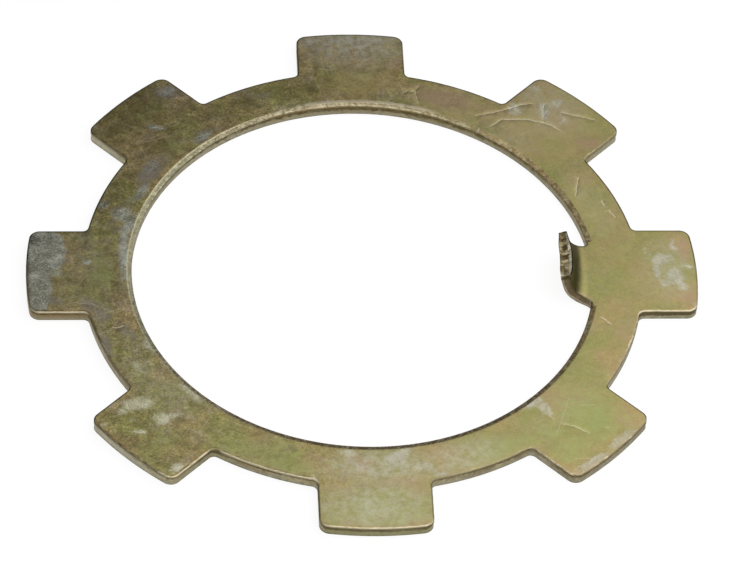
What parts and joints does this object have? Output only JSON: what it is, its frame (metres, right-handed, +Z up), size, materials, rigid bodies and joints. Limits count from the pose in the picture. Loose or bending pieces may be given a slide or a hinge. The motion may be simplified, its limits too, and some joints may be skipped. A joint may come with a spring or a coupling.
{
  "type": "lock washer",
  "caption": "Flat sheet-metal lock washer with square tabs round its rim and one inner key tab bent up at the bore, yellow-plated.",
  "frame": {"origin": "on the bore's axis, in the plane of the lower face that the washer lies on", "axes": "+Z up along the bore's axis, the way the key tab is bent; +X from the axis through the middle of the key tab"},
  "size_m": [0.0874, 0.0874, 0.005],
  "materials": {
    "yellow_zinc": "yellow-passivated zinc plate on steel, olive gold, rubbed grey in places"
  },
  "bodies": {
    "root": {"lock_washer": "yellow_zinc"}
  },
  "joints": []
}
